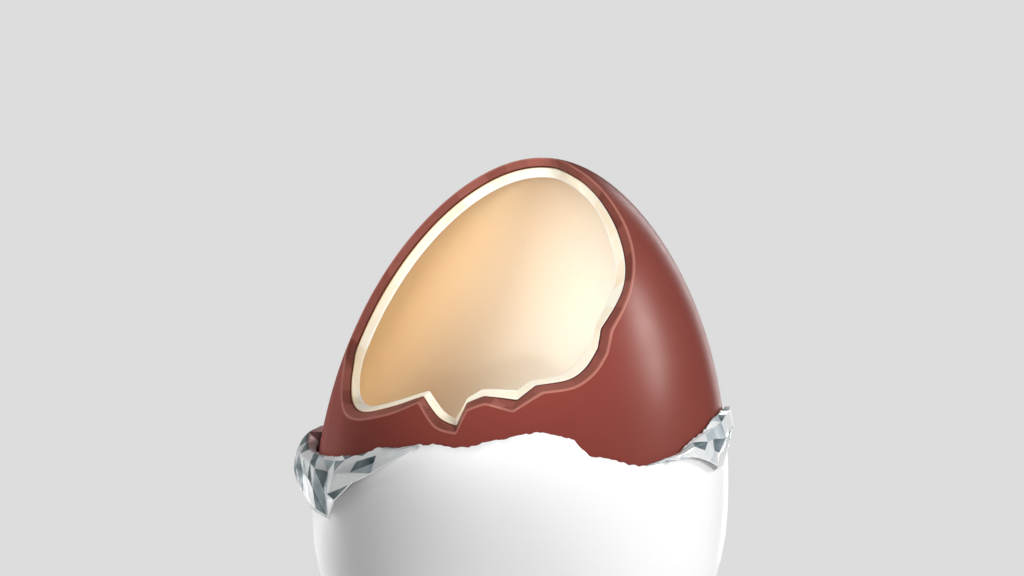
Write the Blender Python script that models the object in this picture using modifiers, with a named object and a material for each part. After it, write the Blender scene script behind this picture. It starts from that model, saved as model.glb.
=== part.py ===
"""A hollow two-layer chocolate egg, broken open at the front and half unwrapped.

Three pieces: a milk chocolate shell, a white chocolate lining inside it, and the
foil wrapper that is torn off above the middle and peeled back in two flaps.
Metres, +Z up along the egg's axis, the origin in the middle of the flat spot that
the egg stands on. The window in the shell opens towards -Y and -X.
"""
import math

import bmesh
import bpy
import numpy as np
from mathutils import Vector

MM = 0.001

# The egg's outline, turned about Z. Above its widest ring the half-width is
# HALF_WIDTH_CURVE * cos(a) * (1 + c1 s + c2 s^2 + c3 s^3), with s = sin(a) and the
# height (1 + s) * LENGTH / 2; below that ring it is a quarter ellipse.
LENGTH = 58.8 * MM
WIDEST_HEIGHT = 23.3 * MM
WIDEST_RADIUS = 21.0 * MM
HALF_WIDTH_CURVE = 20.63 * MM
TAPER = (-0.169, 0.104, -0.119)
TABLE_STEPS = 400

# Layers, measured inwards from the chocolate's outer surface (outwards is negative).
GAP = 0.3 * MM
CHOCOLATE_DEPTH = 2.0 * MM
SEAM_DEPTH = 1.0 * MM
SHELL_INNER = SEAM_DEPTH - GAP / 2
LINING_OUTER = SEAM_DEPTH + GAP / 2
FOIL_THICKNESS = 0.2 * MM
FOIL_MIDDLE = -(GAP + FOIL_THICKNESS / 2)
# The flat spot under the foil is at height 0, and each layer has its own above it.
FLAT_SPOT_LIFT = GAP + FOIL_THICKNESS

# Facets.
TURNED_SIDES = 40
TURNED_RINGS = 16
FOIL_COLUMNS = 60
FOIL_RINGS = 7
FLAP_ROWS = 3
RIM_STEPS = 2
ARCH_STEPS = 11

# The broken rim, seen from the front as (x, z) in millimetres, in clockwise order
# from the tip: the outer edge, the seam between the layers and the inner edge.
# True marks a sharp corner of a chip; between corners the line runs smoothly.
RIM_NODES = (
    ((2.0, 58.3), (2.0, 57.3), (2.0, 56.3), False),
    ((4.0, 57.2), (4.0, 56.2), (3.9, 55.1), False),
    ((6.0, 55.5), (5.8, 54.4), (5.5, 53.3), False),
    ((8.2, 52.5), (7.4, 51.9), (6.7, 50.9), False),
    ((9.25, 49.4), (8.4, 49.0), (7.45, 48.4), False),
    ((9.25, 46.6), (8.5, 46.6), (7.45, 46.5), False),
    ((8.7, 44.4), (7.8, 44.4), (6.9, 44.6), False),
    ((7.7, 42.0), (6.55, 42.0), (5.85, 42.1), True),
    ((7.4, 39.6), (6.4, 40.0), (5.6, 40.2), True),
    ((6.3, 37.5), (5.3, 37.9), (4.5, 38.35), False),
    ((4.3, 35.85), (3.6, 36.55), (2.9, 37.0), False),
    ((1.25, 35.1), (0.5, 35.75), (-0.05, 36.15), True),
    ((-1.6, 32.95), (-1.2, 34.15), (-1.3, 35.1), True),
    ((-4.5, 33.5), (-4.55, 34.25), (-4.8, 34.9), True),
    ((-6.15, 32.75), (-6.25, 33.4), (-6.2, 33.9), True),
    ((-7.1, 30.25), (-7.1, 31.0), (-7.2, 31.7), True),
    ((-9.3, 30.75), (-8.9, 31.7), (-8.5, 32.4), False),
    ((-11.15, 33.05), (-10.65, 33.7), (-10.1, 34.3), True),
    ((-14.0, 31.6), (-13.6, 32.4), (-13.0, 33.1), False),
    ((-17.1, 30.75), (-16.4, 31.55), (-15.8, 32.2), False),
    ((-18.6, 31.5), (-17.7, 32.3), (-16.95, 33.0), False),
    ((-19.05, 34.0), (-18.07, 34.5), (-17.25, 34.5), False),
    ((-19.0, 36.0), (-18.0, 36.2), (-17.2, 36.0), False),
)
# Up the left side the rim is the egg's own side line, from this height to the tip.
ARCH_START_HEIGHT = 38.8 * MM
PLUG_FRONT = -30.0 * MM
PLUG_OVERSHOOT = 0.6 * MM
PLUG_CENTRE = Vector((-5.0, -6.0, 45.0)) * MM

# The tear line of the foil: (turn in degrees from the front towards +X, height in mm).
TEAR_LINE = (
    (-180, 30.6), (-150, 31.4), (-125, 30.2), (-105, 29.4), (-92, 27.6), (-84, 27.0),
    (-65, 26.6), (-52, 27.1), (-41, 28.2), (-27, 28.9), (-20, 28.7), (-11, 29.5),
    (0, 30.8), (6, 31.05), (12, 30.7), (18, 29.2), (24, 28.9), (34, 28.5), (40, 28.95),
    (47, 30.0), (58, 32.2), (65, 33.4), (77, 34.8), (90, 35.1), (120, 34.0),
    (150, 31.6), (180, 30.6),
)
# The free edges of the two flaps: (turn in degrees, height in mm, stand-off in mm).
LEFT_FLAP = (
    (-114, 29.6, 0.0), (-102, 28.7, 2.0), (-92, 26.6, 2.4), (-85, 25.2, 2.4),
    (-79, 23.0, 1.9), (-72, 21.4, 1.2), (-60, 20.5, 1.1), (-55, 22.6, 1.3),
    (-48, 24.7, 1.4), (-40, 26.0, 1.3), (-36, 27.8, 0.9), (-30, 28.6, 0.5), (-24, 28.8, 0.0),
)
RIGHT_FLAP = (
    (36, 28.7, 0.0), (42, 29.0, 0.5), (50, 29.8, 1.0), (60, 29.6, 1.2), (68, 28.7, 1.1),
    (78, 30.4, 1.0), (88, 33.0, 0.9), (98, 34.6, 0.5), (106, 34.4, 0.0),
)

COLLECTION = "chocolate_egg"


def egg_outline():
    """Points (radius, height) from the bottom to the tip, with their outward normals."""
    points = []
    for angle in np.linspace(-math.pi / 2, 0, TABLE_STEPS, endpoint=False):
        points.append((WIDEST_RADIUS * math.cos(angle), WIDEST_HEIGHT * (1 + math.sin(angle))))
    half = LENGTH / 2
    start = math.asin(WIDEST_HEIGHT / half - 1)
    for angle in np.linspace(start, math.pi / 2, TABLE_STEPS):
        s = math.sin(angle)
        taper = 1 + TAPER[0] * s + TAPER[1] * s ** 2 + TAPER[2] * s ** 3
        points.append((HALF_WIDTH_CURVE * math.cos(angle) * taper, half * (1 + s)))
    outline = np.array(points)
    along = np.gradient(outline, axis=0)
    normals = np.stack([along[:, 1], -along[:, 0]], axis=1)
    normals /= np.linalg.norm(normals, axis=1)[:, None]
    normals[0] = (0, -1)
    normals[-1] = (0, 1)
    return outline, normals


OUTLINE, NORMALS = egg_outline()


def layer_outline(depth):
    """The outline of the surface that lies depth inside the egg, bottom to tip."""
    outline = OUTLINE - NORMALS * depth
    outline[0, 0] = outline[-1, 0] = 0
    return outline


def radius_at(height, depth=0.0):
    outline = layer_outline(depth)
    return float(np.interp(height, outline[:, 1], outline[:, 0]))


def on_layer(turn, height, depth):
    """A point of a layer, turn in degrees from the front (-Y) towards +X."""
    radius = radius_at(height, depth)
    angle = math.radians(turn)
    return Vector((radius * math.sin(angle), -radius * math.cos(angle), height))


def flat_height(depth):
    return FLAT_SPOT_LIFT + depth


def make_material(name, colour, roughness, metallic=0.0):
    material = bpy.data.materials.new(name)
    material.use_nodes = True
    shader = material.node_tree.nodes["Principled BSDF"]
    shader.inputs["Base Color"].default_value = (*colour, 1.0)
    shader.inputs["Roughness"].default_value = roughness
    shader.inputs["Metallic"].default_value = metallic
    material.diffuse_color = (*colour, 1.0)
    return material


def make_object(name, mesh, collection, material=None):
    obj = bpy.data.objects.new(name, mesh)
    collection.objects.link(obj)
    if material:
        mesh.materials.append(material)
        mesh.shade_smooth()
        mesh.set_sharp_from_angle(angle=math.radians(35))
    else:
        obj.display_type = 'WIRE'
        obj.hide_render = True
    return obj


def turned_egg(name, depth, collection, material=None):
    """A solid egg depth inside the outer surface, with a flat spot under it."""
    outline = layer_outline(depth)
    floor = flat_height(depth)
    spot_radius = radius_at(floor, depth)
    above = outline[outline[:, 1] > floor]
    run = np.concatenate([[0], np.cumsum(np.linalg.norm(np.diff(above, axis=0), axis=1))])
    steps = np.linspace(run[-1], 0, TURNED_RINGS)
    profile = [(np.interp(s, run, above[:, 0]), np.interp(s, run, above[:, 1])) for s in steps[:-1]]
    profile[0] = (0, profile[0][1])
    profile += [(spot_radius, floor), (0, floor)]
    mesh = bpy.data.meshes.new(name)
    edges = [(i, i + 1) for i in range(len(profile) - 1)]
    mesh.from_pydata([(r, 0, z) for r, z in profile], edges, [])
    obj = make_object(name, mesh, collection, material)
    screw = obj.modifiers.new("turn", 'SCREW')
    screw.steps = screw.render_steps = TURNED_SIDES
    screw.use_merge_vertices = True
    screw.merge_threshold = 0.00001
    screw.use_smooth_shade = True
    return obj


def smooth_between(before, start, end, after, t):
    """A Catmull-Rom step from start to end."""
    return 0.5 * (2 * start + (end - before) * t
                  + (2 * before - 5 * start + 4 * end - after) * t ** 2
                  + (3 * start - before - 3 * end + after) * t ** 3)


def rim_line(column, depth):
    """One closed line of the broken rim, in space: column 0 outer, 1 seam, 2 inner."""
    nodes = []
    outline = layer_outline(depth)
    start = int(np.searchsorted(OUTLINE[:, 1], ARCH_START_HEIGHT))
    for index in np.linspace(start, len(OUTLINE) - 1, ARCH_STEPS).astype(int):
        nodes.append((Vector((-outline[index, 0], 0, outline[index, 1])), False))
    for row in RIM_NODES:
        x, z = row[column][0] * MM, row[column][1] * MM
        radius = max(radius_at(z, depth), abs(x))
        nodes.append((Vector((x, -math.sqrt(radius ** 2 - x ** 2), z)), row[3]))
    line = []
    count = len(nodes)
    for i in range(count):
        start, corner = nodes[i]
        end, end_corner = nodes[(i + 1) % count]
        before = start if corner else nodes[i - 1][0]
        after = end if end_corner else nodes[(i + 2) % count][0]
        steps = 1 if i < ARCH_STEPS - 1 else RIM_STEPS
        for step in range(steps):
            line.append(smooth_between(before, start, end, after, step / steps))
    return line


def window_plug(collection):
    """The piece that is broken out of both layers: rings lofted along the break."""
    outer = rim_line(0, 0.0)
    seam = rim_line(1, SEAM_DEPTH)
    inner = rim_line(2, CHOCOLATE_DEPTH)
    above = [a + (a - b).normalized() * PLUG_OVERSHOOT for a, b in zip(outer, seam)]
    below = [b + (b - a).normalized() * PLUG_OVERSHOOT for a, b in zip(seam, inner)]
    front = [Vector((p.x, PLUG_FRONT, p.z)) for p in above]
    bm = bmesh.new()
    rings = [[bm.verts.new(p) for p in ring] for ring in (front, above, outer, seam, inner, below)]
    count = len(outer)
    for ring, following in zip(rings, rings[1:]):
        for i in range(count):
            j = (i + 1) % count
            bm.faces.new((ring[i], ring[j], following[j], following[i]))
    bm.faces.new(reversed(rings[0]))
    centre = bm.verts.new(PLUG_CENTRE)
    for i in range(count):
        bm.faces.new((rings[-1][i], rings[-1][(i + 1) % count], centre))
    bmesh.ops.triangulate(bm, faces=bm.faces)
    bmesh.ops.recalc_face_normals(bm, faces=bm.faces)
    mesh = bpy.data.meshes.new("window_plug")
    bm.to_mesh(mesh)
    bm.free()
    return make_object("window_plug", mesh, collection)


def cut(obj, cutter):
    modifier = obj.modifiers.new("cut_" + cutter.name, 'BOOLEAN')
    modifier.operation = 'DIFFERENCE'
    modifier.solver = 'EXACT'
    modifier.object = cutter


def read_table(table, turn, column=1):
    turns = [row[0] for row in table]
    return float(np.interp(turn, turns, [row[column] for row in table])) * MM


def foil_sheet():
    """The wrapper as one open sheet: a cup up to the tear line, then the two flaps."""
    bm = bmesh.new()
    floor = flat_height(FOIL_MIDDLE)
    turns = [-180 + 360 * i / FOIL_COLUMNS for i in range(FOIL_COLUMNS)]
    rings = []
    for row in range(FOIL_RINGS + 1):
        # Rows are closer together low down, where the cup turns in to its base.
        share = (row / FOIL_RINGS) ** 1.5
        ring = []
        for turn in turns:
            height = floor + share * (read_table(TEAR_LINE, turn) - floor)
            ring.append(bm.verts.new(on_layer(turn, height, FOIL_MIDDLE)))
        rings.append(ring)
    bm.faces.new(reversed(rings[0]))
    for lower, upper in zip(rings, rings[1:]):
        for i in range(FOIL_COLUMNS):
            j = (i + 1) % FOIL_COLUMNS
            bm.faces.new((lower[i], lower[j], upper[j], upper[i]))
    for flap in (LEFT_FLAP, RIGHT_FLAP):
        add_flap(bm, flap, turns, rings[-1])
    bmesh.ops.triangulate(bm, faces=[f for f in bm.faces if len(f.verts) == 4])
    return bm


def add_flap(bm, flap, turns, tear):
    """Fold a sheet out of the tear line, over a lip and down to its free edge."""
    first, last = flap[0][0], flap[-1][0]
    columns = [i for i, turn in enumerate(turns) if first < turn < last]
    ends = (tear[columns[0] - 1], tear[columns[-1] + 1])
    rows = [[tear[i] for i in columns]]
    for row in range(1, FLAP_ROWS + 1):
        t = row / FLAP_ROWS
        verts = []
        for i in columns:
            root = read_table(TEAR_LINE, turns[i])
            edge = read_table(flap, turns[i])
            stand_off = read_table(flap, turns[i], 2)
            height = (1 - t) ** 2 * root + 2 * t * (1 - t) * root + t ** 2 * edge
            out = 2 * t * (1 - t) * stand_off + t ** 2 * stand_off
            verts.append(bm.verts.new(on_layer(turns[i], height, FOIL_MIDDLE - out)))
        rows.append(verts)
    for lower, upper in zip(rows, rows[1:]):
        for k in range(len(columns) - 1):
            bm.faces.new((lower[k], lower[k + 1], upper[k + 1], upper[k]))
        bm.faces.new((ends[0], lower[0], upper[0]))
        bm.faces.new((lower[-1], ends[1], upper[-1]))


def make_foil(collection, material):
    bm = foil_sheet()
    mesh = bpy.data.meshes.new("foil_wrapper")
    bm.to_mesh(mesh)
    bm.free()
    obj = make_object("foil_wrapper", mesh, collection, material)
    thickness = obj.modifiers.new("thickness", 'SOLIDIFY')
    thickness.thickness = FOIL_THICKNESS
    thickness.offset = 0
    thickness.use_even_offset = False
    return obj


def main():
    for obj in list(bpy.data.objects):
        bpy.data.objects.remove(obj)
    parts = bpy.data.collections.new(COLLECTION)
    cutters = bpy.data.collections.new(COLLECTION + "_cutters")
    for collection in (parts, cutters):
        bpy.context.scene.collection.children.link(collection)

    milk = make_material("milk_chocolate", (0.25, 0.048, 0.036), 0.35)
    white = make_material("white_chocolate", (0.86, 0.62, 0.38), 0.45)
    foil = make_material("foil", (0.9, 0.9, 0.9), 0.3, 0.6)

    plug = window_plug(cutters)
    shell = turned_egg("milk_chocolate_shell", 0.0, parts, milk)
    cut(shell, turned_egg("shell_hollow", SHELL_INNER, cutters))
    cut(shell, plug)
    lining = turned_egg("white_chocolate_lining", LINING_OUTER, parts, white)
    cut(lining, turned_egg("lining_hollow", CHOCOLATE_DEPTH, cutters))
    cut(lining, plug)
    make_foil(parts, foil)


main()
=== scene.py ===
"""The looks of a hollow chocolate egg, broken open and half unwrapped from its foil."""
import math
import random

import bmesh
import bpy
import numpy as np
from mathutils import Matrix, Vector, noise


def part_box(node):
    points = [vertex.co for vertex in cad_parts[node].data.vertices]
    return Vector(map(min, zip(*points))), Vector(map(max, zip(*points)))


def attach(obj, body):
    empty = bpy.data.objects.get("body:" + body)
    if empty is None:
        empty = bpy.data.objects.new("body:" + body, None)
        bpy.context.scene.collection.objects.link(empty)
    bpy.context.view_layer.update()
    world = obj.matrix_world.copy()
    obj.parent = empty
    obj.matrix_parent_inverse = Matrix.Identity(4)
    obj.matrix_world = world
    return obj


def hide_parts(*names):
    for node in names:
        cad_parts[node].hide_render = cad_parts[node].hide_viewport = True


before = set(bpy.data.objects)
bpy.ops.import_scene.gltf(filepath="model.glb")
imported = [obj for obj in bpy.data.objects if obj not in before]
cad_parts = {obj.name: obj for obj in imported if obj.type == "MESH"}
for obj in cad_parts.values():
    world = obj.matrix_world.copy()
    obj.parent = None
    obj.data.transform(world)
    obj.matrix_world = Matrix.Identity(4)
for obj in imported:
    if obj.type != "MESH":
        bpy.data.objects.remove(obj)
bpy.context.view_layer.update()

MM = 0.001

# ---- The egg's outline, the same as the frame's, turned about Z ----------------
SHELL_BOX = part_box("milk_chocolate_shell")
LENGTH = SHELL_BOX[1][2]
WIDEST_RADIUS = LENGTH / 2.8
WIDEST_HEIGHT = 23.3 * MM
HALF_WIDTH_CURVE = 20.63 * MM
TAPER = (-0.169, 0.104, -0.119)
TABLE_STEPS = 2000
FLAT_SPOT_LIFT = SHELL_BOX[0][2]

# Depths below the chocolate's outer surface; negative is outside it.
SEAM_DEPTH = 1.0 * MM
CHOCOLATE_DEPTH = 2.0 * MM
FOIL_DEPTH = -0.10 * MM
FOIL_LIFT_AT_TEAR = 0.20 * MM
FOIL_THICKNESS = 0.03 * MM

# ---- The broken rim, from the front as (x, z) in mm: outer edge, seam, inner edge
RIM_NODES = (
    ((2.0, 58.3), (2.0, 57.3), (2.0, 56.3), False),
    ((4.0, 57.2), (4.0, 56.2), (3.9, 55.1), False),
    ((6.0, 55.5), (5.8, 54.4), (5.5, 53.3), False),
    ((8.2, 52.5), (7.4, 51.9), (6.7, 50.9), False),
    ((9.25, 49.4), (8.4, 49.0), (7.45, 48.4), False),
    ((9.25, 46.6), (8.5, 46.6), (7.45, 46.5), False),
    ((8.7, 44.4), (7.8, 44.4), (6.9, 44.6), False),
    ((7.7, 42.0), (6.55, 42.0), (5.85, 42.1), True),
    ((7.4, 39.6), (6.4, 40.0), (5.6, 40.2), True),
    ((6.3, 37.5), (5.3, 37.9), (4.5, 38.35), False),
    ((4.3, 35.85), (3.6, 36.55), (2.9, 37.0), False),
    ((1.25, 35.1), (0.5, 35.75), (-0.05, 36.15), True),
    ((-1.6, 32.95), (-1.2, 34.15), (-1.3, 35.1), True),
    ((-4.5, 33.5), (-4.55, 34.25), (-4.8, 34.9), True),
    ((-6.15, 32.75), (-6.25, 33.4), (-6.2, 33.9), True),
    ((-7.1, 30.25), (-7.1, 31.0), (-7.2, 31.7), True),
    ((-9.3, 30.75), (-8.9, 31.7), (-8.5, 32.4), False),
    ((-11.15, 33.05), (-10.65, 33.7), (-10.1, 34.3), True),
    ((-14.0, 31.6), (-13.6, 32.4), (-13.0, 33.1), False),
    ((-17.1, 30.75), (-16.4, 31.55), (-15.8, 32.2), False),
    ((-18.6, 31.5), (-17.7, 32.3), (-16.95, 33.0), False),
    ((-19.05, 34.0), (-18.07, 34.5), (-17.25, 34.5), False),
    ((-19.0, 36.0), (-18.0, 36.2), (-17.2, 36.0), False),
)
ARCH_START_HEIGHT = 38.8 * MM
ARCH_NODES = 11
RIM_STEP = 0.22 * MM
RIM_SOFTENING = 2
EDGE_ROUND = 0.13 * MM
SEAM_ROUND = 0.09 * MM
EGG_CENTRE = Vector((0, 0, 28.0 * MM))
FINE_RINGS = 110
COARSE_RINGS = 24
BREAK_RINGS = 5
BREAK_ROUGHNESS = 0.07 * MM
CHIP_SIZE = 1.6 * MM
EDGE_RING = 0.003
FIRST_RING = 0.004
TURN_EVENED_BY = 1 / 3
SHELL_SEED = 3.0
LINING_SEED = 11.0

# ---- The foil: (turn in degrees from the front towards +X, height in mm) --------
TEAR_LINE = (
    (-180, 30.6), (-150, 31.4), (-125, 30.2), (-105, 29.4), (-92, 27.6), (-84, 27.0),
    (-65, 26.6), (-52, 27.1), (-41, 28.2), (-27, 28.9), (-20, 28.7), (-11, 29.5),
    (0, 30.8), (6, 31.05), (12, 30.7), (18, 29.2), (24, 28.9), (34, 28.5), (40, 28.95),
    (47, 30.0), (58, 32.2), (65, 33.4), (77, 34.8), (90, 35.1), (120, 34.0),
    (150, 31.6), (180, 30.6),
)
FOIL_COLUMNS = 480
FOIL_RINGS = 36
NICK_DEPTH = 0.25 * MM
NICK_SIZES = ((9.0, 1.0), (32.0, 0.8), (75.0, 0.35))
RING_CROWDING = 1.3
LIFT_FROM = 0.9
BASE_GATHER_RADIUS = 9.0 * MM
BASE_RINGS = 13
BASE_PLEATS = 22
BASE_PLEAT_DEPTH = 0.12 * MM

# The two flaps folded back over the tear line. A column every six degrees starts on the
# tear line and goes on through four points (turn, height in mm, stand-off in mm).
FLAP_STEP = 6
FLAP_ROWS = 4
FLAP_CUTS = 7
LEFT_FLAP_START = -114
LEFT_FLAP = (
    (),
    ((-108, 29.9, 0.5), (-108, 29.6, 0.9), (-108, 29.2, 1.2), (-108, 28.8, 1.3)),
    ((-102, 29.5, 0.9), (-102, 29.0, 1.5), (-101, 28.4, 1.8), (-100, 27.7, 1.9)),
    ((-96, 28.9, 1.4), (-96, 28.2, 1.9), (-94, 27.2, 2.1), (-92, 26.2, 2.2)),
    ((-90, 27.9, 1.2), (-90, 27.4, 1.9), (-89.5, 26.3, 2.1), (-88, 25.0, 2.2)),
    ((-85, 27.2, 0.9), (-86, 26.6, 1.8), (-86, 25.3, 2.0), (-84, 23.6, 1.7)),
    ((-79, 26.9, 0.7), (-79, 26.2, 1.7), (-79, 24.8, 1.5), (-79, 22.6, 1.3)),
    ((-73, 26.7, 0.7), (-73, 25.9, 1.5), (-72.5, 24.3, 1.6), (-74.5, 21.7, 1.1)),
    ((-68, 26.4, 0.9), (-68.5, 25.4, 1.6), (-69, 23.4, 1.5), (-70, 21.0, 0.9)),
    ((-62, 26.3, 0.5), (-63.5, 25.2, 0.9), (-64.5, 23.2, 0.9), (-62.5, 20.4, 0.6)),
    ((-55.8, 26.5, 0.8), (-57.8, 25.2, 1.5), (-60.5, 22.9, 1.4), (-58.0, 22.3, 1.0)),
    ((-49.5, 27.1, 0.4), (-50.5, 26.5, 0.8), (-51.5, 25.3, 1.2), (-51, 24.2, 1.0)),
    ((-43, 27.8, 0.4), (-43, 27.3, 0.9), (-43.5, 26.5, 0.9), (-43.5, 25.4, 1.1)),
    ((-37, 28.2, 0.3), (-37, 27.9, 0.7), (-37.5, 27.4, 0.8), (-37.5, 26.8, 1.0)),
    (),
)
RIGHT_FLAP_START = 36
RIGHT_FLAP = (
    (),
    ((42, 29.4, 0.3), (42, 29.3, 0.45), (42.5, 29.25, 0.4), (42.5, 29.1, 0.3)),
    ((48, 30.1, 0.5), (47.5, 29.95, 0.8), (47, 29.8, 0.8), (46.5, 29.5, 0.7)),
    ((53.5, 31.3, 0.5), (53, 30.9, 0.9), (52.5, 30.4, 0.9), (52, 29.85, 0.8)),
    ((60, 32.3, 0.5), (59, 31.5, 1.0), (57.5, 30.6, 0.9), (56, 29.75, 0.9)),
    ((66, 33.0, 0.5), (64, 31.8, 0.6), (62, 30.6, 1.1), (60, 29.5, 0.9)),
    ((71.5, 33.6, 0.6), (69.5, 32.0, 1.2), (66.5, 30.5, 0.8), (64, 29.1, 1.0)),
    ((77, 34.3, 0.6), (75, 32.6, 0.9), (72, 30.6, 0.5), (67.5, 28.75, 0.4)),
    ((83, 34.8, 0.8), (81, 33.3, 1.0), (78, 31.6, 0.7), (72, 29.3, 0.5)),
    ((90, 35.2, 0.7), (89, 34.0, 0.55), (86, 32.7, 0.3), (80, 31.0, 0.1)),
    ((96, 35.0, 0.5), (96, 34.4, 0.6), (95, 33.8, 0.4), (94, 33.2, 0.2)),
    (),
)
# Painted reflections: the tones the flap facets are drawn from at random, dark to bright, standing in for
# how crumpled silver mirrors light and shade.
FACET_REFLECTION_TONES = (0.1, 0.35, 0.5, 0.75, 0.75, 0.75)
FACET_SEED = 11
# Painted highlight: the light tone along each flap's free edge.
FLAP_HEM_HIGHLIGHT_TONE = 0.8
CRINKLE = 0.07 * MM
CRINKLE_SIZE = 1.1 * MM

# ---- The camera: level, turned about its line of sight by the lean --------------
LEAN = math.radians(4.93)
AIM = Vector((-2.7, 0.0, 45.3)) * MM
VIEW_WIDTH = 104.1 * MM
LENS = 800.0
SENSOR = 36.0
ROOM_LIGHT = 0.11
BACKDROP_LIGHT = 0.72
FLOOR_WIDTH = 6.0
FLOOR_DEPTH = 5.0
FLOOR_BEHIND = 0.62
LAMP_TARGET = Vector((0, 0, 0.035))
SPOT_BLEND = 0.7
SPOT_SOFTNESS = 0.012

# ---- Colours, linear, each from its darker to its lighter shade ------------------
MILK = (0.195, 0.040, 0.030), (0.215, 0.045, 0.034)
# The break pairs are mixed cell by cell in snapped(): painted light and shade of the chip facets.
MILK_BREAK = (0.17, 0.042, 0.031), (0.30, 0.098, 0.074)
# Painted shade: near-black brown for the seam between the two chocolates.
MILK_SEAM_SHADE = (0.06, 0.012, 0.009), (0.08, 0.016, 0.012)
# Painted highlight: a lighter brown along the rounded outer rim, added to the real gloss that the
# rounding catches.
MILK_EDGE_HIGHLIGHT = (0.34, 0.125, 0.095), (0.39, 0.155, 0.12)
# Painted shade on the lining: tan where the hollow lies in shade, pale cream where light falls in.
CREAM_SHADED_TO_LIT = (0.88, 0.57, 0.27), (0.95, 0.87, 0.76)
CREAM_BREAK = (0.90, 0.76, 0.56), (0.95, 0.88, 0.74)
# Painted highlight: a whiter cream along the lining's rounded inner rim, added to the real gloss that the
# rounding catches.
CREAM_EDGE_HIGHLIGHT = (0.94, 0.90, 0.80), (0.96, 0.92, 0.84)
FOIL_WHITE = (0.9, 0.9, 0.905), (0.93, 0.93, 0.93)
# Where the lining's painted shade turns from tan to cream: start and end in X, in metres, and its slope
# with height.
CREAM_SHADE_SPAN = (-0.034, -0.010, 0.4)


def egg_outline(depth):
    """Points (radius, height) of a layer from the bottom to the tip."""
    points = []
    for angle in np.linspace(-math.pi / 2, 0, TABLE_STEPS, endpoint=False):
        points.append((WIDEST_RADIUS * math.cos(angle), WIDEST_HEIGHT * (1 + math.sin(angle))))
    half = LENGTH / 2
    start = math.asin(WIDEST_HEIGHT / half - 1)
    for angle in np.linspace(start, math.pi / 2, TABLE_STEPS):
        s = math.sin(angle)
        taper = 1 + TAPER[0] * s + TAPER[1] * s ** 2 + TAPER[2] * s ** 3
        points.append((HALF_WIDTH_CURVE * math.cos(angle) * taper, half * (1 + s)))
    outline = np.array(points)
    along = np.gradient(outline, axis=0)
    normals = np.stack([along[:, 1], -along[:, 0]], axis=1)
    normals /= np.linalg.norm(normals, axis=1)[:, None]
    normals[0] = (0, -1)
    normals[-1] = (0, 1)
    outline = outline - normals * depth
    outline[0, 0] = outline[-1, 0] = 0
    return outline


def radius_at(height, depth=0.0):
    outline = egg_outline(depth)
    return np.interp(height, outline[:, 1], outline[:, 0])


def on_layer(directions, depth):
    """Where rays from the egg's centre meet a layer; directions is N x 3."""
    outline = egg_outline(depth)
    centre = EGG_CENTRE.z
    angles = np.arctan2(outline[:, 0], outline[:, 1] - centre)[::-1]
    reaches = np.hypot(outline[:, 0], outline[:, 1] - centre)[::-1]
    unit = directions / np.linalg.norm(directions, axis=1)[:, None]
    tilt = np.arccos(np.clip(unit[:, 2], -1, 1))
    reach = np.interp(tilt, angles, reaches)
    floor = centre - FLAT_SPOT_LIFT - depth
    down = np.maximum(-unit[:, 2], 1e-6)
    reach = np.minimum(reach, np.where(unit[:, 2] < 0, floor / down, reach))
    return unit * reach[:, None] + np.array(EGG_CENTRE)


# ---- The broken rim --------------------------------------------------------------
def rim_nodes(column, depth):
    """The corners and soft points of one rim line, in space, on its layer."""
    nodes = []
    outline = egg_outline(depth)
    start = int(np.searchsorted(egg_outline(0)[:, 1], ARCH_START_HEIGHT))
    for index in np.linspace(start, len(outline) - 1, ARCH_NODES).astype(int):
        nodes.append((Vector((-outline[index, 0], 0, outline[index, 1])), False))
    for row in RIM_NODES:
        x, z = row[column][0] * MM, row[column][1] * MM
        radius = max(float(radius_at(z, depth)), abs(x))
        nodes.append((Vector((x, -math.sqrt(radius ** 2 - x ** 2), z)), row[3]))
    return nodes


def smooth_between(before, start, end, after, t):
    return 0.5 * (2 * start + (end - before) * t
                  + (2 * before - 5 * start + 4 * end - after) * t ** 2
                  + (3 * start - before - 3 * end + after) * t ** 3)


def rim_lines():
    """Outer, seam and inner line of the break, point for point beside each other."""
    columns = [rim_nodes(0, 0.0), rim_nodes(1, SEAM_DEPTH), rim_nodes(2, CHOCOLATE_DEPTH)]
    count = len(columns[0])
    lines = [[], [], []]
    for i in range(count):
        run = (columns[0][(i + 1) % count][0] - columns[0][i][0]).length
        steps = max(3, round(run / RIM_STEP))
        for line, nodes in zip(lines, columns):
            start, corner = nodes[i]
            end, end_corner = nodes[(i + 1) % count]
            before = start if corner else nodes[i - 1][0]
            after = end if end_corner else nodes[(i + 2) % count][0]
            for step in range(steps):
                line.append(smooth_between(before, start, end, after, step / steps))
    settled = []
    for line, depth in zip(lines, (0.0, SEAM_DEPTH, CHOCOLATE_DEPTH)):
        points = np.array(line)
        for _ in range(RIM_SOFTENING):
            points = (np.roll(points, 1, 0) + 2 * points + np.roll(points, -1, 0)) / 4
        settled.append(on_layer(points - np.array(EGG_CENTRE), depth))
    return settled


def unit_rows(rows):
    return rows / np.linalg.norm(rows, axis=1)[:, None]


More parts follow.
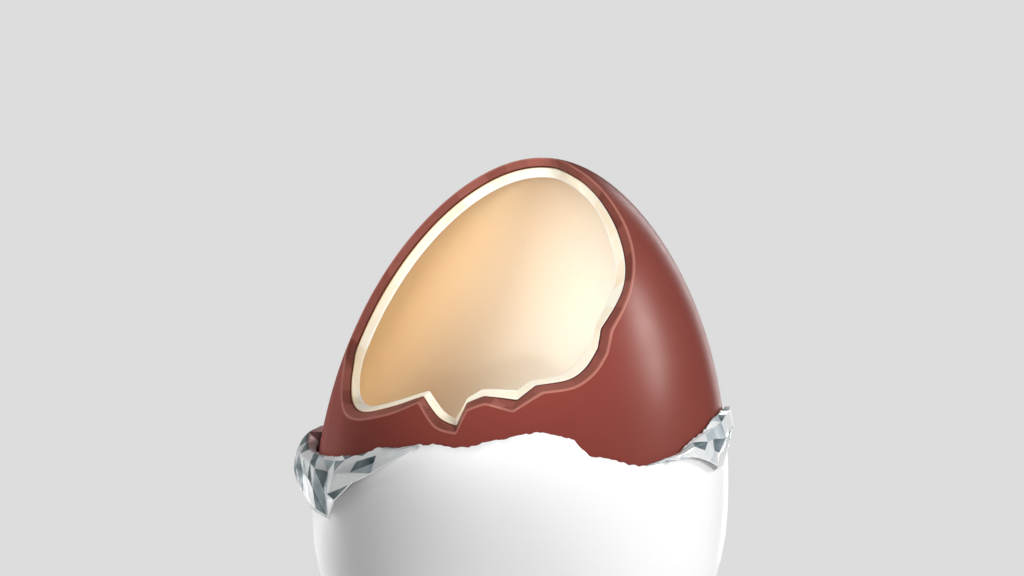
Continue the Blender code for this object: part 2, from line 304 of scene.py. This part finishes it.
class Spread:
    """Rings that leave the rim and close on the far side of the egg."""

    def __init__(self, line, depth, axis):
        self.depth = depth
        side = np.cross(axis, (0, 0, 1))
        side /= np.linalg.norm(side)
        self.basis = np.array([side, np.cross(axis, side), axis])
        local = unit_rows(line - np.array(EGG_CENTRE)) @ self.basis.T
        self.angle = np.arccos(np.clip(local[:, 2], -1, 1))
        self.turn = np.unwrap(np.arctan2(local[:, 1], local[:, 0]))
        count = len(line)
        step = 2 * math.pi / count * np.sign(self.turn[-1] - self.turn[0])
        even = step * np.arange(count)
        self.even = even + np.mean(self.turn - even)

    def ring(self, share):
        """share 0 is the rim and 1 the far pole."""
        ease = min(1.0, share / TURN_EVENED_BY)
        ease = ease * ease * (3 - 2 * ease)
        turn = self.turn + (self.even - self.turn) * ease
        angle = self.angle + (math.pi - self.angle) * share
        local = np.stack([np.sin(angle) * np.cos(turn), np.sin(angle) * np.sin(turn),
                          np.cos(angle)], axis=1)
        return on_layer(local @ self.basis, self.depth)


def rounded(back, corner, onward, radius, steps=4):
    """Rings round an edge: from behind the corner, past it, to in front of it."""
    start = corner + unit_rows(back - corner) * radius
    end = corner + unit_rows(onward - corner) * radius
    rings = []
    for step in range(steps + 1):
        t = step / steps
        rings.append((1 - t) ** 2 * start + 2 * t * (1 - t) * corner + t ** 2 * end)
    return rings


def ring_shares(count, first=FIRST_RING):
    """Shares from near the rim to the far pole, closer together near the rim."""
    steps = np.linspace(0, 1, count)
    return first + (1 - first) * (0.35 * steps + 0.65 * steps ** 1.6)


def break_rings(outer, inner, seed):
    """Rings across a break face, slightly uneven as snapped chocolate is."""
    along = unit_rows(np.roll(outer, -1, 0) - np.roll(outer, 1, 0))
    normal = unit_rows(np.cross(along, inner - outer))
    rings = []
    for step in range(1, BREAK_RINGS + 1):
        t = step / (BREAK_RINGS + 1)
        ring = outer * (1 - t) + inner * t
        swell = [noise.noise(Vector(p) / CHIP_SIZE + Vector((seed, 0, 0))) for p in ring]
        rings.append(ring + normal * (np.array(swell) * BREAK_ROUGHNESS * math.sin(math.pi * t))[:, None])
    return rings


def wrap_rings(bm, rings, slots):
    """A grid of faces laid over closed rings; the first and last ring may be poles."""
    columns = len(rings[0])
    made = bmesh.ops.create_grid(bm, x_segments=columns, y_segments=len(rings) - 1, size=1)
    for index, vert in enumerate(made["verts"]):
        row, column = divmod(index, columns + 1)
        vert.co = rings[row][column % columns]
    faces = {face for vert in made["verts"] for face in vert.link_faces}
    order = {vert: index for index, vert in enumerate(made["verts"])}
    for face in faces:
        row = min(order[vert] for vert in face.verts) // (columns + 1)
        face.material_index = slots[row]
        face.smooth = True


def finish_mesh(name, bm, materials, recalculate=True):
    bmesh.ops.remove_doubles(bm, verts=bm.verts, dist=1e-7)
    if recalculate:
        bmesh.ops.recalc_face_normals(bm, faces=bm.faces)
    mesh = bpy.data.meshes.new(name)
    bm.to_mesh(mesh)
    bm.free()
    for material in materials:
        mesh.materials.append(material)
    obj = bpy.data.objects.new(name, mesh)
    bpy.context.scene.collection.objects.link(obj)
    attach(obj, "root")
    return obj


def chocolate_layer(name, outer_line, inner_line, depths, rings, rounds, edge_slots, axis,
                    materials, seed):
    """A closed layer of the egg, open at the window: outside, break face, inside."""
    outside = Spread(outer_line, depths[0], axis)
    inside = Spread(inner_line, depths[1], axis)
    out_rings = [outside.ring(share) for share in ring_shares(rings[0])]
    in_rings = [inside.ring(share) for share in ring_shares(rings[1])]
    stack = out_rings[::-1]
    slots = [0] * (len(stack) - 1)
    outer_edge = rounded(outside.ring(EDGE_RING), outer_line, inner_line, rounds[0])
    inner_edge = rounded(outer_line, inner_line, inside.ring(EDGE_RING), rounds[1])
    face = outer_edge + break_rings(outer_line, inner_line, seed) + inner_edge
    stack += face
    slots += edge_slots[:1] * len(outer_edge)
    slots += [1] * BREAK_RINGS
    slots += edge_slots[1:] * len(inner_edge)
    stack += in_rings
    slots += [0] * len(in_rings)
    bm = bmesh.new()
    wrap_rings(bm, stack, slots[:len(stack) - 1])
    return finish_mesh(name, bm, materials)


# ---- Foil ------------------------------------------------------------------------
def read_table(table, turn):
    turns, heights = zip(*table)
    return np.interp(turn, turns, heights) * MM


def tear_heights(turns):
    """The torn edge, with small ragged nicks."""
    heights = read_table(TEAR_LINE, turns)
    angles = np.radians(turns)
    for size, share in NICK_SIZES:
        round_egg = [(math.sin(a) * size, math.cos(a) * size, size) for a in angles]
        nicks = np.array([noise.noise(Vector(place)) for place in round_egg])
        heights = heights + nicks * NICK_DEPTH * share
    return heights


def base_rings(angles, floor):
    """Foil gathered flat under the egg, in fine pleats that run to the middle."""
    outline = egg_outline(FOIL_DEPTH)
    rings = []
    for share in np.linspace(0, 1, BASE_RINGS):
        radius = share * BASE_GATHER_RADIUS
        height = max(floor, float(np.interp(radius, outline[:TABLE_STEPS, 0], outline[:TABLE_STEPS, 1])))
        press = 1 - share * share * (3 - 2 * share)
        pleat = (1 - np.cos(BASE_PLEATS * angles)) * 0.5 * math.sin(math.pi * share)
        heights = height - floor * press + BASE_PLEAT_DEPTH * pleat * press
        rings.append(np.stack([radius * np.sin(angles), -radius * np.cos(angles), heights], axis=1))
    return rings


def add_flap(bm, start, columns, draw, tear_ring):
    """A folded-back piece of foil in creased facets, joined to the tear line."""
    row_of = bm.verts.layers.float["row"]
    turn_of = bm.verts.layers.float["turn"]
    reflection_tone_of = bm.faces.layers.float["reflection_tone"]

    def tear_point(turn):
        return Vector(tear_ring[round((turn + 180) / 360 * FOIL_COLUMNS) % FOIL_COLUMNS])

    across = len(columns)
    made = bmesh.ops.create_grid(bm, x_segments=across - 1, y_segments=FLAP_ROWS, size=1)
    for index, vert in enumerate(made["verts"]):
        row, column = divmod(index, across)
        turn = start + FLAP_STEP * column
        vert[row_of] = row
        vert[turn_of] = turn
        vert.co = tear_point(turn)
        if row and columns[column]:
            turn, height, stand_off = columns[column][row - 1]
            radius = float(radius_at(height * MM, FOIL_DEPTH)) + stand_off * MM
            angle = math.radians(turn)
            vert.co = (radius * math.sin(angle), -radius * math.cos(angle), height * MM)
    faces = {face for vert in made["verts"] for face in vert.link_faces}
    facets = bmesh.ops.triangulate(bm, faces=list(faces), quad_method='FIXED')["faces"]
    # Each facet gets a painted reflection tone, drawn at random.
    for facet in facets:
        facet[reflection_tone_of] = draw.choice(FACET_REFLECTION_TONES)
        facet.smooth = True
    edges = {edge for facet in facets for edge in facet.edges}
    bmesh.ops.subdivide_edges(bm, edges=list(edges), cuts=FLAP_CUTS, use_grid_fill=True)
    flap = [vert for vert in bm.verts if vert[row_of] >= 0]
    # The faces along each flap's free edge get the painted highlight tone.
    for vert in flap:
        if vert[row_of] > FLAP_ROWS - 0.001:
            for face in vert.link_faces:
                face[reflection_tone_of] = FLAP_HEM_HIGHLIGHT_TONE
    for vert in flap:
        if vert[row_of] < 0.001:
            vert.co = tear_point(vert[turn_of])
    bm.normal_update()
    inner = [vert for vert in flap if vert[row_of] >= 0.001]
    bmesh.ops.smooth_vert(bm, verts=[vert for vert in inner if not vert.is_boundary], factor=0.5,
                          use_axis_x=True, use_axis_y=True, use_axis_z=True)
    for vert in inner:
        swell = noise.noise(vert.co / CRINKLE_SIZE) * CRINKLE * min(1.0, vert[row_of])
        vert.co += vert.normal * swell
    for vert in flap:
        vert[row_of] = -1


def make_foil(materials):
    turns = np.linspace(-180, 180, FOIL_COLUMNS, endpoint=False)
    angles = np.radians(turns)
    tear = tear_heights(turns)
    floor = FLAT_SPOT_LIFT + FOIL_DEPTH
    rings = base_rings(angles, floor)
    outline = egg_outline(FOIL_DEPTH)
    start = float(rings[-1][0, 2])
    for row in range(1, FOIL_RINGS + 1):
        share = (row / FOIL_RINGS) ** RING_CROWDING
        heights = start + share * (tear - start)
        lift = FOIL_LIFT_AT_TEAR * max(0.0, (share - LIFT_FROM) / (1 - LIFT_FROM)) ** 2
        radii = np.interp(heights, outline[:, 1], outline[:, 0]) + lift
        rings.append(np.stack([radii * np.sin(angles), -radii * np.cos(angles), heights], axis=1))
    bm = bmesh.new()
    row_of = bm.verts.layers.float.new("row")
    bm.verts.layers.float.new("turn")
    reflection_tone_of = bm.faces.layers.float.new("reflection_tone")
    wrap_rings(bm, rings, [0] * (len(rings) - 1))
    for vert in bm.verts:
        vert[row_of] = -1
    # The cup's silver inside takes the bright end of the painted reflection tones.
    for face in bm.faces:
        face[reflection_tone_of] = 1
    draw = random.Random(FACET_SEED)
    add_flap(bm, LEFT_FLAP_START, LEFT_FLAP, draw, rings[-1])
    add_flap(bm, RIGHT_FLAP_START, RIGHT_FLAP, draw, rings[-1])
    bmesh.ops.remove_doubles(bm, verts=bm.verts, dist=0.002 * MM)
    bmesh.ops.dissolve_degenerate(bm, edges=bm.edges, dist=0.001 * MM)
    bmesh.ops.recalc_face_normals(bm, faces=bm.faces)
    lowest = min(bm.faces, key=lambda face: face.calc_center_median().z)
    if lowest.normal.z > 0:
        bmesh.ops.reverse_faces(bm, faces=bm.faces)
    obj = finish_mesh("foil", bm, materials, recalculate=False)
    thick = obj.modifiers.new("thickness", 'SOLIDIFY')
    thick.thickness = FOIL_THICKNESS
    thick.offset = -1
    thick.material_offset = 1
    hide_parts("foil_wrapper")
    return obj


# ---- Materials -------------------------------------------------------------------
def new_material(name):
    material = bpy.data.materials.new(name)
    material.use_nodes = True
    return material, material.node_tree, material.node_tree.nodes["Principled BSDF"]


def add_noise(tree, scale, detail=2.0):
    place = tree.nodes.new("ShaderNodeTexCoord")
    pattern = tree.nodes.new("ShaderNodeTexNoise")
    pattern.inputs["Scale"].default_value = scale
    pattern.inputs["Detail"].default_value = detail
    tree.links.new(place.outputs["Object"], pattern.inputs["Vector"])
    return pattern


def spread_value(tree, source, low, high):
    span = tree.nodes.new("ShaderNodeMapRange")
    span.inputs["From Min"].default_value = 0.3
    span.inputs["From Max"].default_value = 0.7
    span.inputs["To Min"].default_value = low
    span.inputs["To Max"].default_value = high
    tree.links.new(source, span.inputs["Value"])
    return span.outputs["Result"]


def mix_colours(tree, factor, first, second):
    mix = tree.nodes.new("ShaderNodeMix")
    mix.data_type = 'RGBA'
    mix.inputs["A"].default_value = (*first, 1)
    mix.inputs["B"].default_value = (*second, 1)
    tree.links.new(factor, mix.inputs["Factor"])
    return mix.outputs["Result"]


def add_bump(tree, shader, height, strength, distance):
    bump = tree.nodes.new("ShaderNodeBump")
    bump.inputs["Strength"].default_value = strength
    bump.inputs["Distance"].default_value = distance
    tree.links.new(height, bump.inputs["Height"])
    tree.links.new(bump.outputs["Normal"], shader.inputs["Normal"])


def painted_shade_across(tree, low, high, slope):
    """Painted shade: 0 to 1 across the egg in X, in metres, from the shaded side to the lit side; slope
    moves the change sideways with height.
    """
    place = tree.nodes.new("ShaderNodeTexCoord")
    split = tree.nodes.new("ShaderNodeSeparateXYZ")
    tree.links.new(place.outputs["Object"], split.inputs["Vector"])
    lean = tree.nodes.new("ShaderNodeMath")
    lean.operation = 'MULTIPLY_ADD'
    lean.inputs[1].default_value = -slope
    tree.links.new(split.outputs["Z"], lean.inputs[0])
    tree.links.new(split.outputs["X"], lean.inputs[2])
    span = tree.nodes.new("ShaderNodeMapRange")
    span.interpolation_type = 'SMOOTHSTEP'
    span.inputs["From Min"].default_value = low
    span.inputs["From Max"].default_value = high
    tree.links.new(lean.outputs["Value"], span.inputs["Value"])
    return span.outputs["Result"]


def milk_chocolate():
    material, tree, shader = new_material("milk_chocolate")
    cloud = add_noise(tree, 90, 3)
    colour = mix_colours(tree, cloud.outputs["Fac"], *MILK)
    tree.links.new(colour, shader.inputs["Base Color"])
    tree.links.new(spread_value(tree, add_noise(tree, 160, 3).outputs["Fac"], 0.32, 0.38),
                   shader.inputs["Roughness"])
    shader.inputs["Specular IOR Level"].default_value = 0.4
    shader.inputs["Specular Tint"].default_value = (1.0, 0.88, 0.80, 1)
    shader.inputs["Subsurface Weight"].default_value = 0.1
    shader.inputs["Subsurface Scale"].default_value = 0.0015
    shader.inputs["Subsurface Radius"].default_value = (1.0, 0.4, 0.25)
    add_bump(tree, shader, add_noise(tree, 220, 2).outputs["Fac"], 0.15, 0.00002)
    return material


def snapped(name, low, high, roughness, grain):
    """A freshly snapped face: matt and finely grainy. Its colour is mixed cell by cell between a darker
    and a lighter shade: painted light and shade, as if each chip facet caught the light differently.
    """
    material, tree, shader = new_material(name)
    chip_light_and_shade = tree.nodes.new("ShaderNodeTexVoronoi")
    chip_light_and_shade.inputs["Scale"].default_value = 330
    place = tree.nodes.new("ShaderNodeTexCoord")
    tree.links.new(place.outputs["Object"], chip_light_and_shade.inputs["Vector"])
    shift = tree.nodes.new("ShaderNodeSeparateColor")
    tree.links.new(chip_light_and_shade.outputs["Color"], shift.inputs["Color"])
    tree.links.new(mix_colours(tree, shift.outputs["Red"], low, high), shader.inputs["Base Color"])
    shader.inputs["Roughness"].default_value = roughness
    shader.inputs["Subsurface Weight"].default_value = 0.1
    shader.inputs["Subsurface Scale"].default_value = 0.0015
    add_bump(tree, shader, add_noise(tree, 1500, 4).outputs["Fac"], grain, 0.00004)
    return material


def milk_chocolate_break():
    return snapped("milk_chocolate_break", *MILK_BREAK, 0.5, 0.25)


def milk_chocolate_seam_shade():
    """Painted shade: the thin dark line where the two chocolates meet, standing in for the shadow in the
    seam between them.
    """
    return snapped("milk_chocolate_seam_shade", *MILK_SEAM_SHADE, 0.5, 0.1)


# Painted highlight along the shell's rounded outer rim.
def milk_chocolate_edge_highlight():
    return snapped("milk_chocolate_edge_highlight", *MILK_EDGE_HIGHLIGHT, 0.4, 0.1)


def white_chocolate():
    material, tree, shader = new_material("white_chocolate")
    # Painted shade: tan on the left of the hollow, pale cream towards the lower right.
    across = painted_shade_across(tree, *CREAM_SHADE_SPAN)
    colour = mix_colours(tree, across, *CREAM_SHADED_TO_LIT)
    tree.links.new(colour, shader.inputs["Base Color"])
    shader.inputs["Roughness"].default_value = 0.45
    shader.inputs["Subsurface Weight"].default_value = 0.15
    shader.inputs["Subsurface Scale"].default_value = 0.002
    add_bump(tree, shader, add_noise(tree, 150, 2).outputs["Fac"], 0.1, 0.00002)
    return material


def white_chocolate_break():
    return snapped("white_chocolate_break", *CREAM_BREAK, 0.5, 0.2)


# Painted highlight along the lining's rounded inner rim.
def white_chocolate_edge_highlight():
    return snapped("white_chocolate_edge_highlight", *CREAM_EDGE_HIGHLIGHT, 0.35, 0.1)


def foil_outside():
    material, tree, shader = new_material("foil_white_outside")
    cloud = add_noise(tree, 60, 2)
    colour = mix_colours(tree, cloud.outputs["Fac"], *FOIL_WHITE)
    tree.links.new(colour, shader.inputs["Base Color"])
    shader.inputs["Roughness"].default_value = 0.3
    add_bump(tree, shader, add_noise(tree, 120, 2).outputs["Fac"], 0.1, 0.00004)
    return material


def foil_inside():
    material, tree, shader = new_material("foil_silver_inside")
    # Painted reflections: each facet's tone, with a fine ripple, runs through a ramp from near-black to
    # bright silver.
    reflection_tone = tree.nodes.new("ShaderNodeAttribute")
    reflection_tone.attribute_name = "reflection_tone"
    ripple = add_noise(tree, 420, 1)
    uneven = tree.nodes.new("ShaderNodeMath")
    uneven.operation = 'MULTIPLY_ADD'
    uneven.inputs[1].default_value = 0.5
    tree.links.new(ripple.outputs["Fac"], uneven.inputs[0])
    tree.links.new(reflection_tone.outputs["Fac"], uneven.inputs[2])
    steps = tree.nodes.new("ShaderNodeValToRGB")
    ramp = steps.color_ramp
    ramp.elements[0].position = 0.22
    ramp.elements[0].color = (0.05, 0.085, 0.09, 1)
    ramp.elements[1].color = (0.96, 0.97, 0.975, 1)
    for place, colour in ((0.5, (0.42, 0.50, 0.54, 1)), (0.75, (0.87, 0.91, 0.93, 1))):
        ramp.elements.new(place).color = colour
    tree.links.new(uneven.outputs["Value"], steps.inputs["Fac"])
    tree.links.new(steps.outputs["Color"], shader.inputs["Base Color"])
    shader.inputs["Metallic"].default_value = 0.3
    tree.links.new(spread_value(tree, add_noise(tree, 300, 2).outputs["Fac"], 0.2, 0.3),
                   shader.inputs["Roughness"])
    add_bump(tree, shader, add_noise(tree, 900, 3).outputs["Fac"], 0.25, 0.00005)
    return material


# ---- Stage -----------------------------------------------------------------------
def add_floor():
    bm = bmesh.new()
    bmesh.ops.create_grid(bm, x_segments=1, y_segments=1, size=1)
    bmesh.ops.scale(bm, verts=bm.verts, vec=(FLOOR_WIDTH / 2, FLOOR_DEPTH / 2, 1))
    bmesh.ops.translate(bm, verts=bm.verts, vec=(0, FLOOR_BEHIND - FLOOR_DEPTH / 2, 0))
    mesh = bpy.data.meshes.new("floor")
    bm.to_mesh(mesh)
    bm.free()
    floor = bpy.data.objects.new("floor", mesh)
    bpy.context.scene.collection.objects.link(floor)
    material, _, shader = new_material("floor_paint")
    shader.inputs["Base Color"].default_value = (0.72, 0.72, 0.72, 1)
    shader.inputs["Roughness"].default_value = 0.8
    mesh.materials.append(material)


def add_light(name, direction, distance, size, power, glossy=True):
    """A soft rectangular lamp in a direction from the egg's middle."""
    data = bpy.data.lights.new(name, 'AREA')
    data.shape = 'RECTANGLE'
    data.size, data.size_y = size
    data.energy = power
    lamp = bpy.data.objects.new(name, data)
    bpy.context.scene.collection.objects.link(lamp)
    away = Vector(direction).normalized()
    lamp.location = LAMP_TARGET + away * distance
    lamp.rotation_euler = away.to_track_quat('Z', 'Y').to_euler()
    lamp.visible_camera = False
    lamp.visible_glossy = glossy


def add_spot(name, direction, distance, degrees, power, target):
    """A narrow soft-edged lamp aimed at one place on the egg."""
    data = bpy.data.lights.new(name, 'SPOT')
    data.spot_size = math.radians(degrees)
    data.spot_blend = SPOT_BLEND
    data.shadow_soft_size = SPOT_SOFTNESS
    data.energy = power
    lamp = bpy.data.objects.new(name, data)
    bpy.context.scene.collection.objects.link(lamp)
    away = Vector(direction).normalized()
    lamp.location = target + away * distance
    lamp.rotation_euler = away.to_track_quat('Z', 'Y').to_euler()
    lamp.visible_camera = False
    lamp.visible_glossy = False


def add_lights():
    add_light("key", (0.68, -1.0, 0.28), 0.95, (0.26, 0.26), 5.5, glossy=False)
    add_light("right_softbox", (0.90, -0.05, 0.56), 0.35, (0.04, 0.12), 0.5)
    add_light("left_rim", (-0.65, 0.75, 0.12), 0.4, (0.06, 0.35), 2.9, glossy=False)
    add_light("right_rim", (0.35, 0.94, 0.15), 0.4, (0.04, 0.3), 0.16)
    add_spot("window_spot", (-0.25, -1.0, 0.12), 0.22, 8.5, 2.0, Vector((-2.5, -18.0, 43.0)) * MM)
    add_spot("flank_spot", (-0.90, 0.30, 0.16), 0.22, 5.0, 1.7, Vector((-18.0, -4.0, 34.5)) * MM)
    add_spot("tip_spot", (-0.35, -1.0, -0.20), 0.2, 9.0, 1.1, Vector((-6.0, -13.0, 48.0)) * MM)
    world = bpy.data.worlds.new("studio")
    bpy.context.scene.world = world
    world.use_nodes = True
    tree = world.node_tree
    backdrop = tree.nodes["Background"]
    backdrop.inputs["Color"].default_value = (1, 1, 1, 1)
    path = tree.nodes.new("ShaderNodeLightPath")
    level = tree.nodes.new("ShaderNodeMapRange")
    level.inputs["To Min"].default_value = ROOM_LIGHT
    level.inputs["To Max"].default_value = BACKDROP_LIGHT
    tree.links.new(path.outputs["Is Camera Ray"], level.inputs["Value"])
    tree.links.new(level.outputs["Result"], backdrop.inputs["Strength"])


def add_camera():
    data = bpy.data.cameras.new("camera")
    data.lens = LENS
    data.sensor_width = SENSOR
    data.clip_start = 0.01
    data.clip_end = 20
    camera = bpy.data.objects.new("camera", data)
    bpy.context.scene.collection.objects.link(camera)
    right = Vector((math.cos(LEAN), 0, math.sin(LEAN)))
    up = Vector((-math.sin(LEAN), 0, math.cos(LEAN)))
    back = Vector((0, -1, 0))
    turn = Matrix((right, up, back)).transposed()
    distance = LENS / SENSOR * VIEW_WIDTH
    camera.matrix_world = Matrix.Translation(AIM + back * distance) @ turn.to_4x4()
    bpy.context.scene.camera = camera


def main():
    add_camera()
    add_lights()
    add_floor()
    bpy.context.scene.view_settings.view_transform = 'Standard'

    outer, seam, inner = rim_lines()
    axis = np.mean(unit_rows(outer - np.array(EGG_CENTRE)), axis=0)
    axis /= np.linalg.norm(axis)
    shell = chocolate_layer("chocolate_shell", outer, seam, (0.0, SEAM_DEPTH),
                            (FINE_RINGS, COARSE_RINGS), (EDGE_ROUND, SEAM_ROUND), [2, 3], axis,
                            [milk_chocolate(), milk_chocolate_break(), milk_chocolate_edge_highlight(),
                             milk_chocolate_seam_shade()], SHELL_SEED)
    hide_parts("milk_chocolate_shell")
    lining = chocolate_layer("white_lining", seam, inner, (SEAM_DEPTH, CHOCOLATE_DEPTH),
                             (COARSE_RINGS, FINE_RINGS), (SEAM_ROUND, EDGE_ROUND), [0, 2], axis,
                             [white_chocolate(), white_chocolate_break(), white_chocolate_edge_highlight()],
                             LINING_SEED)
    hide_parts("white_chocolate_lining")
    make_foil([foil_outside(), foil_inside()])


main()
